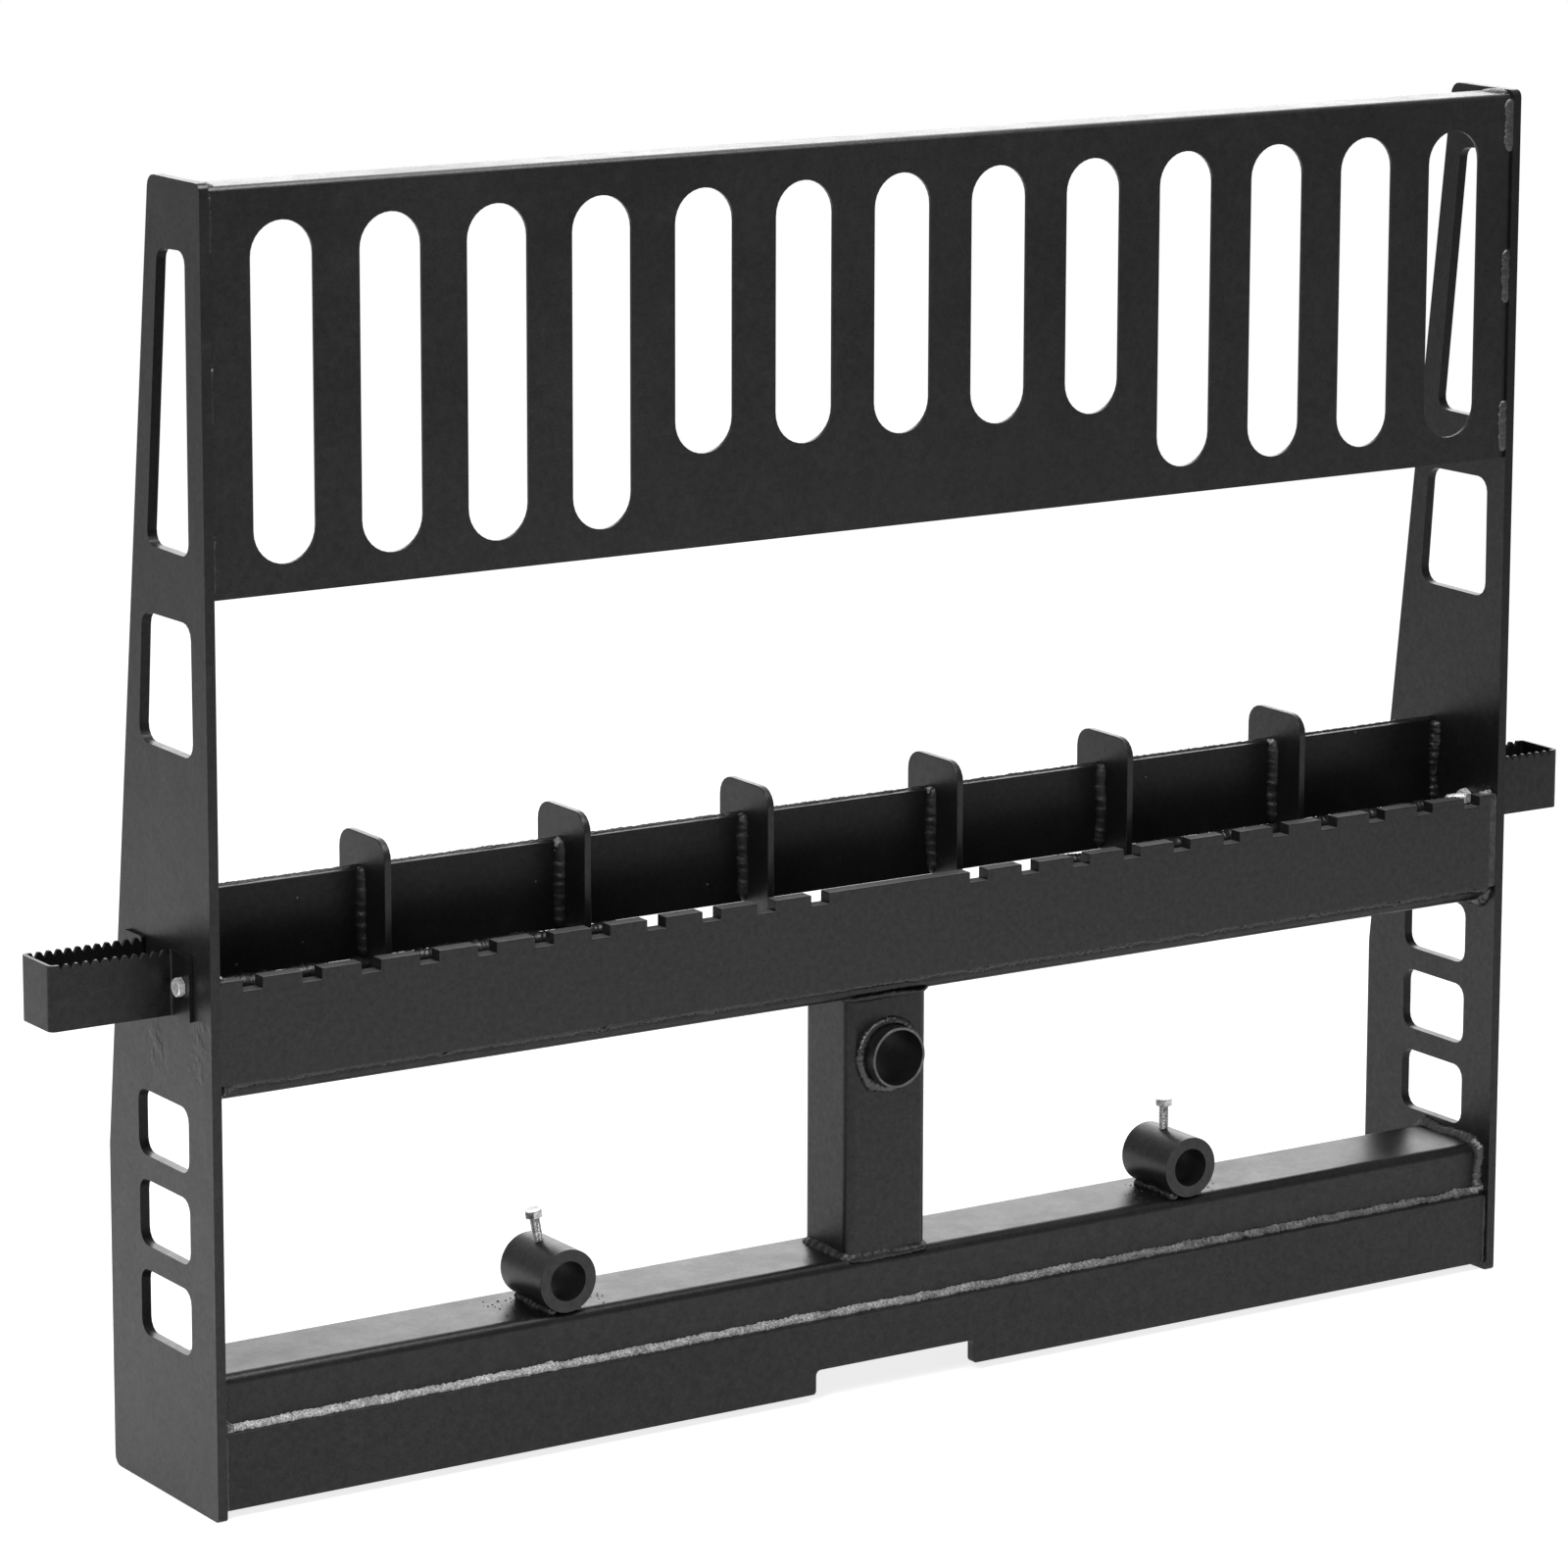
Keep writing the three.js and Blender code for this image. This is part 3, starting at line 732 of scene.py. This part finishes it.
def upper_bar_welds(bm):
    """The dark ragged bead under the upper bar, the one behind its top edge, and a seam at each end."""
    y = cross_low.y - 3.2 * MM
    z = bar_low.z - 2.4 * MM
    bead(bm, [(-REACH, y, z), (REACH, y, z)], (0, -0.6, -0.8), 3.3 * MM, seed=2, rough=0.4,
         ripple=6 * MM, lumps=lumps_at(UNDER_BAR_LUMPS, y, z))
    y = bar_high.y + 2.6 * MM
    z = cross_high.z + 0.4 * MM
    bead(bm, [(-REACH, y, z), (REACH, y, z)], (0, 0.5, 0.9), 3.2 * MM, seed=3)
    for side in (-1, 1):
        x = side * (REACH - 0.2 * MM)
        seam = bar_low.y + 0.95 * MM
        bead(bm, [(x, seam, bar_low.z), (x, seam, bar_high.z - 2 * MM)], (0, -1, 0), 0.9 * MM,
             seed=44 + side, rough=0.1)


weld_piece("weld_upper_bar", upper_bar_welds)


def bar_end_lumps(bm):
    """Bright ragged lumps where the upper bar's top meets the side plates, and at the bottom tube's ends."""
    for side in (-1, 1):
        x = side * (REACH - 1 * MM)
        z = bar_high.z - 0.6 * MM
        bead(bm, [(x - side * 10 * MM, bar_high.y - 2 * MM, z), (x, bar_low.y + 6 * MM, z + 0.6 * MM)],
             (0, -0.4, 1), 2.2 * MM, seed=46 + side, rough=0.8, step=0.8 * MM,
             lumps=[((x, bar_low.y + 6 * MM, z), 2.2 * MM, 4 * MM)])
        x = side * (REACH - 2 * MM)
        y = base_low.y - 2 * MM
        bead(bm, [(x - side * 9 * MM, y - 0.6 * MM, lower_high.z + 2 * MM), (x, y, lower_high.z + 3 * MM),
                  (x, y, lower_high.z + 11 * MM)],
             (-side * 0.6, -1, 0.4), 5.0 * MM, seed=56 + side, rough=0.75, step=0.8 * MM)


weld_piece("weld_end_lumps", bar_end_lumps, WELD_LUMPS)


HOOK_RUN = 205 * MM            # the beads at the hook plate's foot start this far from the middle


def hook_welds(bm):
    """Beads along the hook plate's top and foot and at its ends."""
    y = hook_high.y + 0.2 * MM
    z = hook_high.z - 1.2 * MM
    bead(bm, [(-REACH, y, z), (REACH, y, z)], (0, 0.2, 1), 2.6 * MM, seed=4, rough=0.16, height=1.0,
         ripple=9 * MM)
    y = (cross_high.y + hook_low.y) / 2
    z = (cross_high.z + hook_low.z) / 2
    for side in (-1, 1):
        path = [(side * HOOK_RUN, y, z), (side * REACH, y, z)]
        bead(bm, path, (0, -0.7, 0.7), 6.4 * MM, seed=5 + side, rough=0.2)
        x = side * (REACH - 0.8 * MM)
        front = hook_low.y - 0.6 * MM
        bead(bm, [(x, front, hook_low.z), (x, front, hook_high.z - 1 * MM)], (-side, -1, 0), 5.6 * MM,
             seed=48 + side, rough=0.4, ripple=7 * MM, height=0.7, sides=14,
             lumps=[((x, front, hook_high.z - 2 * MM), 2.4 * MM, 6 * MM)])


weld_piece("weld_hook_plate", hook_welds)


def ear_welds(bm):
    """Broad flat beads beside each ear in front of the hook plate, and thin ones behind and under it."""
    for number in EARS:
        low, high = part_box(f"ear_{number}")
        for x, side in ((low.x, -1), (high.x, 1)):
            y = hook_low.y - 1 * MM
            top = hook_high.z + 1.5 * MM
            bead(bm, [(x, y, hook_low.z + 1 * MM), (x, y, top)], (side, -1, 0), 6.6 * MM,
                 seed=10 + number + side * 0.5, rough=0.16, ripple=9 * MM, sides=14, height=0.7)
            bead(bm, [(x, low.y + 1 * MM, cross_high.z), (x, cross_high.y - 3 * MM, cross_high.z)],
                 (side, 0, 1), 3.4 * MM, seed=20 + number + side * 0.5)
            bead(bm, [(x, hook_high.y + 2 * MM, hook_high.z - 2 * MM),
                      (x, high.y - 3 * MM, hook_high.z - (high.y - hook_high.y))],
                 (side, 1, 1), 2.6 * MM, seed=30 + number + side * 0.5)


weld_piece("weld_ears", ear_welds, WELD_QUIET)


def ear_weld_tops(bm):
    """The bright blobs where the beads beside the ears run out over the hook plate's top edge."""
    for number in EARS:
        low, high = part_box(f"ear_{number}")
        for x, side in ((low.x, -1), (high.x, 1)):
            y = hook_low.y + 0.5 * MM
            z = hook_high.z - 2.5 * MM
            out = 5 * MM if number % 2 == (side > 0) else 2.5 * MM
            bead(bm, [(x + side * 1 * MM, y, z - 3 * MM), (x + side * 1.5 * MM, y, z + 1 * MM),
                      (x + side * out, y + 2 * MM, z + 1.4 * MM)],
                 (side * 0.5, -1, 0.7), 4.2 * MM, seed=35 + number + side * 0.5, rough=0.6, step=0.8 * MM)


weld_piece("weld_ear_tops", ear_weld_tops, WELD_LUMPS)


def end_welds(bm):
    """Beads where the cross members meet the side plates."""
    for side in (-1, 1):
        x = side * (REACH - 0.8 * MM)
        for tube, seed in (("base_tube", 40), ("cross_tube", 43)):
            low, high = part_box(tube)
            path = [
                (x, low.y, low.z + CORNER), (x, low.y, high.z - CORNER),
                (x, low.y + CORNER, high.z), (x, high.y - CORNER, high.z),
                (x, high.y, high.z - CORNER), (x, high.y, low.z + CORNER),
                (x, high.y - CORNER, low.z), (x, low.y + CORNER, low.z),
            ]
            outs = [(-side, -1, 0), (-side, -1, 0), (-side, 0, 1), (-side, 0, 1),
                    (-side, 1, 0), (-side, 1, 0), (-side, 0, -1), (-side, 0, -1)]
            bead(bm, path, outs, 6.4 * MM, seed=seed + side, closed=True, rough=0.34, ripple=6 * MM)
        bead(bm, [(x, hook_high.y, hook_high.z), (x, lip_high.y, lip_low.z + 10 * MM)],
             (-side, 1, 1), 3.0 * MM, seed=50 + side, rough=0.3)


weld_piece("weld_side_plates", end_welds, WELD)


def post_welds(bm):
    """Beads around the centre post's foot and top."""
    low, high = post_low, post_high
    for z, rise, seed in ((low.z, 1, 60), (high.z, -1, 61)):
        path = [
            (low.x + CORNER, low.y, z), (high.x - CORNER, low.y, z),
            (high.x, low.y + CORNER, z), (high.x, high.y - CORNER, z),
            (high.x - CORNER, high.y, z), (low.x + CORNER, high.y, z),
            (low.x, high.y - CORNER, z), (low.x, low.y + CORNER, z),
        ]
        outs = [(0, -1, rise), (0, -1, rise), (1, 0, rise), (1, 0, rise),
                (0, 1, rise), (0, 1, rise), (-1, 0, rise), (-1, 0, rise)]
        radius = 4.6 * MM if rise > 0 else 4.2 * MM
        lumps = []
        if rise > 0:
            spots = (low.y + 16 * MM, low.y + 36 * MM, high.y - 14 * MM)
            lumps = [((low.x, y, z), 2.6 * MM, 12 * MM) for y in spots]
        bead(bm, path, outs, radius, seed=seed, closed=True, rough=0.2, ripple=9 * MM, height=0.55,
             sides=12, lumps=lumps)


weld_piece("weld_post", post_welds, WELD_QUIET)


def sleeve_welds(bm):
    """Beads along both side sleeves on the bottom tube, with spatter beside them."""
    rng = random.Random(70)
    for name, seed in (("left", 70), ("right", 73)):
        low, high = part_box(f"spear_sleeve_{name}")
        x = (low.x + high.x) / 2
        z = base_high.z + 1.4 * MM
        for side in (-1, 1):
            path = [(x + side * 11 * MM, low.y + 3.5 * MM, z), (x + side * 12.5 * MM, high.y - 3 * MM, z)]
            bead(bm, path, (side * 0.8, 0, 1), 5.2 * MM, seed=seed + side, rough=0.5, ripple=6 * MM)
            drops(bm, rng, 26, (x + side * 14 * MM, low.y + 4 * MM, base_high.z),
                  (x + side * 46 * MM, high.y, base_high.z))


weld_piece("weld_spear_sleeves", sleeve_welds)


def centre_ring_weld(bm):
    """Rings of weld around the centre sleeve, in front of the post and behind it."""
    x, z = middle_of("spear_sleeve_centre")
    r = CENTRE_R + 2.6 * MM
    for y, out in ((post_low.y, -1), (post_high.y, 1)):
        turns = [2 * math.pi * k / 48 for k in range(48)]
        path = [(x + r * math.cos(t), y + out * 0.3 * MM, z + r * math.sin(t)) for t in turns]
        outs = [(math.cos(t), out, math.sin(t)) for t in turns]
        bead(bm, path, outs, 4.0 * MM, seed=80 + out, closed=True, rough=0.3, ripple=5 * MM,
             lumps=[((x - 16 * MM, y, z - 23 * MM), 2.6 * MM, 6 * MM)])


weld_piece("weld_centre_sleeve", centre_ring_weld, WELD)


# Low end, high end and seed of each stitch between the guard and a side plate.
GUARD_STITCHES = ((952 * MM, 996 * MM, 90), (827 * MM, 872 * MM, 92), (703 * MM, 746 * MM, 94))


def guard_welds(bm, side):
    """Flat stitches over the seam between guard and side plate, and a broad run along the flange's end."""
    x = side * (REACH - (1.6 if side > 0 else 0.4) * MM)
    y = guard_low.y + 0.2 * MM
    radius = 4.6 * MM if side > 0 else 2.4 * MM
    for low, high, seed in GUARD_STITCHES:
        wide = 1.25 if high > 0.95 and side > 0 else 1.0
        bead(bm, [(x, y, low), (x, y, high)], (-side * 0.2, -1, 0), radius * wide, seed=seed + side * 0.5,
             rough=0.3, height=0.52 / wide, sides=14, lumps=[((x, y, high - 3 * MM), 0.9 * MM, 4 * MM)])
    x = side * (REACH - 4 * MM)
    z = guard_high.z - 0.4 * MM
    bead(bm, [(x, guard_low.y + 3 * MM, z), (x, guard_high.y - 2 * MM, z)], (-side * 0.2, 0, 1), 7.5 * MM,
         seed=96 + side * 0.5, rough=0.2, height=0.34, sides=14)


weld_piece("weld_guard_left", lambda bm: guard_welds(bm, -1))
weld_piece("weld_guard_right", lambda bm: guard_welds(bm, 1), WELD)


def guard_corner_lumps(bm):
    """Bright ends of the upper two stitches and of the run along the flange."""
    for side in (-1, 1):
        x = side * (REACH + 0.6 * MM)
        for _, high, seed in GUARD_STITCHES[:2]:
            top = high - 2 * MM
            y = guard_low.y - 0.6 * MM
            bead(bm, [(x, y, top - 4 * MM), (x - side * MM, y + 0.2 * MM, top)],
                 (0, -1, 0.5), 2.0 * MM, seed=98 + seed + side * 0.5, rough=0.7, step=0.6 * MM)
        bead(bm, [(x, guard_low.y + 1.4 * MM, guard_high.z - 11 * MM),
                  (x, guard_low.y + 3 * MM, guard_high.z - 3.5 * MM)],
             (-side * 0.3, -1, 0.6), 3.6 * MM, seed=99 + side * 0.5, rough=0.55, step=0.8 * MM)


weld_piece("weld_guard_lumps", guard_corner_lumps, WELD_LUMPS)


# ---- bolts and nuts ----
HEAD_FLATS = 12.9 * MM         # across the flats, a hair inside the CAD node
HEAD_HEIGHT = 5.5 * MM
HEAD_SLOPE = math.tan(math.radians(28))        # of the cone on its corners
BOLT_RADIUS = 4 * MM
THREAD_PITCH = 1.25 * MM
THREAD_DEPTH = 0.62 * MM
HAIR = 0.1 * MM


def bolt_frame(axis, origin):
    """A place whose Z runs along an axis from an origin."""
    turn = Vector((0, 0, 1)).rotation_difference(Vector(axis).normalized()).to_matrix().to_4x4()
    return Matrix.Translation(Vector(origin)) @ turn


def hexed(angle):
    """Distance from a head's axis to its side in the direction of an angle."""
    sector = (angle % (math.pi / 3)) - math.pi / 6
    return HEAD_FLATS / 2 / math.cos(sector)


def hex_head(bm, place, z0, z1, bore=0.0):
    """A hexagon from z0 to z1 with its corners turned off to a cone; with a bore it is a nut."""
    count = 60
    angles = [2 * math.pi * k / count for k in range(count)]
    chamfer = HEAD_FLATS * 0.47
    countersink = 0.6 * MM
    loops = []

    def ring(radius_of, height_of):
        loops.append([
            bm.verts.new(place @ Vector((
                radius_of(a) * math.cos(a), radius_of(a) * math.sin(a), height_of(a)
            )))
            for a in angles
        ])

    if bore:
        ring(lambda a: bore, lambda a: z0 + countersink)
        ring(lambda a: bore + countersink, lambda a: z0)
        ring(lambda a: chamfer, lambda a: z0)
        ring(hexed, lambda a: z0 + (hexed(a) - chamfer) * HEAD_SLOPE)
    else:
        ring(lambda a: HEAD_FLATS * 0.2, lambda a: z0)
        ring(lambda a: chamfer, lambda a: z0)
        ring(lambda a: hexed(a) - HAIR, lambda a: z0)
        ring(hexed, lambda a: z0 + HAIR)
    ring(hexed, lambda a: z1 - (hexed(a) - chamfer) * HEAD_SLOPE)
    ring(lambda a: chamfer, lambda a: z1)
    if bore:
        ring(lambda a: bore + countersink, lambda a: z1)
        ring(lambda a: bore, lambda a: z1 - countersink)
    else:
        ring(lambda a: chamfer * 0.82, lambda a: z1 - 0.15 * MM)
        ring(lambda a: chamfer * 0.2, lambda a: z1 - 0.25 * MM)
    loop_faces(bm, loops, closed=bore > 0)


def threaded_rod(bm, place, z0, z1):
    """A rod with a real helical thread from z0 up to z1, chamfered at z0."""
    count = 28
    per_turn = 8
    groove_share = 0.36        # half the groove's width, as a share of the pitch
    tip_radius = BOLT_RADIUS - 1.1 * MM
    tip_slope = 0.9
    rows = round((z1 - z0) / THREAD_PITCH * per_turn)
    loops = []
    for row in range(rows + 1):
        z = z0 + (z1 - z0) * row / rows
        loop = []
        for k in range(count):
            angle = 2 * math.pi * k / count
            phase = ((z - z0) / THREAD_PITCH - k / count) % 1.0
            groove = max(0.0, 1 - abs(phase - 0.5) / groove_share)
            r = min(BOLT_RADIUS - THREAD_DEPTH * groove, tip_radius + (z - z0) * tip_slope)
            loop.append(bm.verts.new(place @ Vector((r * math.cos(angle), r * math.sin(angle), z))))
        loops.append(loop)
    loop_faces(bm, loops)


def bolt(bm, place, length, top):
    """A bolt whose tip is at the place's origin. Its head ends at top, and length is its CAD node's."""
    under_head = length - HEAD_HEIGHT
    hex_head(bm, place, under_head, top)
    threaded_rod(bm, place, 0.05 * MM, under_head + 0.5 * MM)


def zinc_piece(node, build, body, material):
    name = node + "_looks"
    finish_piece(name, built_mesh(name, build), material, body, [node], sharp=28)


joint_axes = {j["child"]: Vector(j["axis"]) for j in frame["joints"]}

for side, body in (("left", "set_bolt_l"), ("right", "set_bolt_r")):
    axis = joint_axes[body]
    co = [v.co for v in frame["nodes"][f"set_bolt_{side}"].data.vertices]
    along = [c.dot(axis) for c in co]
    length = max(along) - min(along)
    tip = [c for c, a in zip(co, along) if a < min(along) + HAIR]
    place = bolt_frame(axis, sum(tip, Vector()) / len(tip))
    zinc_piece(f"set_bolt_{side}", lambda bm: bolt(bm, place, length, length), body, ZINC)

for side, sign in (("left", -1), ("right", 1)):
    for end in ("front", "rear"):
        low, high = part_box(f"step_bolt_{side}_{end}")
        nut_low, nut_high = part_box(f"step_nut_{side}_{end}")
        inside = low.x if sign > 0 else high.x
        centre = (low + high) / 2
        place = bolt_frame((sign, 0, 0), (inside, centre.y, centre.z))
        length = high.x - low.x
        nut_from = abs((nut_low.x if sign > 0 else nut_high.x) - inside)
        nut_to = nut_from + (nut_high.x - nut_low.x)
        builds = (
            ("bolt", lambda bm: bolt(bm, place, length, length - HAIR)),
            ("nut", lambda bm: hex_head(bm, place, nut_from, nut_to, BOLT_RADIUS + HAIR)),
        )
        for kind, build in builds:
            zinc_piece(f"step_{kind}_{side}_{end}", build, "frame", ZINC_BRIGHT)


# ---- floor and light ----
FLOOR_RADIUS = 4.5
FLOOR_FADE = (2.0, 4.4)        # the floor fades out between these distances
FLOOR_DROP = 0.2 * MM
FLOOR_GREY = 0.42
FLOOR_GLOW = 0.8
BACKDROP = (0.54, 0.84, 0.0)   # the way to the white backdrop


def make_floor():
    """A pale disc that glows a little and fades out into the backdrop."""
    bm = bmesh.new()
    bmesh.ops.create_circle(bm, cap_ends=True, segments=96, radius=FLOOR_RADIUS)
    mesh = mesh_of("floor", bm)
    floor = bpy.data.objects.new("floor", mesh)
    floor.location = (0, 0, -FLOOR_DROP)
    material, tree, shader = new_material("floor_pale")
    shader.inputs["Base Color"].default_value = (FLOOR_GREY, FLOOR_GREY, FLOOR_GREY, 1)
    shader.inputs["Roughness"].default_value = 0.95
    shader.inputs["Specular IOR Level"].default_value = 0.0
    shader.inputs["Emission Color"].default_value = (1, 1, 1, 1)
    shader.inputs["Emission Strength"].default_value = FLOOR_GLOW
    place = place_of(tree)
    length = add_node(tree, "ShaderNodeVectorMath", operation="LENGTH")
    tree.links.new(place, length.inputs[0])
    fade = add_node(tree, "ShaderNodeMapRange", {"From Min": FLOOR_FADE[0], "From Max": FLOOR_FADE[1]})
    tree.links.new(length.outputs["Value"], fade.inputs["Value"])
    clear = add_node(tree, "ShaderNodeBsdfTransparent")
    mixed = add_node(tree, "ShaderNodeMixShader")
    tree.links.new(fade.outputs["Result"], mixed.inputs[0])
    tree.links.new(shader.outputs[0], mixed.inputs[1])
    tree.links.new(clear.outputs[0], mixed.inputs[2])
    tree.links.new(mixed.outputs[0], tree.nodes["Material Output"].inputs["Surface"])
    mesh.materials.append(material)
    scene.collection.objects.link(floor)
    floor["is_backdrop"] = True


def area_light(name, place, target, size, power, depth=None):
    """A softbox that shines from a place towards a target, unseen by the camera."""
    data = bpy.data.lights.new(name, "AREA")
    data.shape = "RECTANGLE"
    data.size = size
    data.size_y = depth or size
    data.energy = power
    light = bpy.data.objects.new(name, data)
    light.visible_camera = False
    light.location = place
    light.rotation_euler = (Vector(target) - Vector(place)).to_track_quat("-Z", "Y").to_euler()
    scene.collection.objects.link(light)


def make_world():
    """White ahead of the lens, greyer to the other sides: a studio with one white backdrop."""
    world = bpy.data.worlds.new("studio")
    world.use_nodes = True
    tree = world.node_tree
    direction = add_node(tree, "ShaderNodeTexCoord").outputs["Generated"]
    toward = add_node(tree, "ShaderNodeVectorMath", {1: BACKDROP}, operation="DOT_PRODUCT")
    tree.links.new(direction, toward.inputs[0])
    colour = ramp_of(tree, toward.outputs["Value"], [(0.4, 0.36), (0.85, 1.0)])
    tree.links.new(colour, tree.nodes["Background"].inputs["Color"])
    tree.nodes["Background"].inputs["Strength"].default_value = 1.0
    scene.world = world


make_floor()
make_world()
area_light("softbox_top", place=(0.2, -0.7, 2.6), target=(0, 0, 0.4), size=1.3, power=60)
area_light("softbox_left", place=(-2.6, -1.6, 2.6), target=(0, 0, 0.4), size=1.2, power=70)
area_light("softbox_back", place=(2.6, 4.0, 1.9), target=(0, 0, 0.5), size=3.6, power=70, depth=2.6)
scene.view_settings.view_transform = "Standard"

low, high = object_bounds()
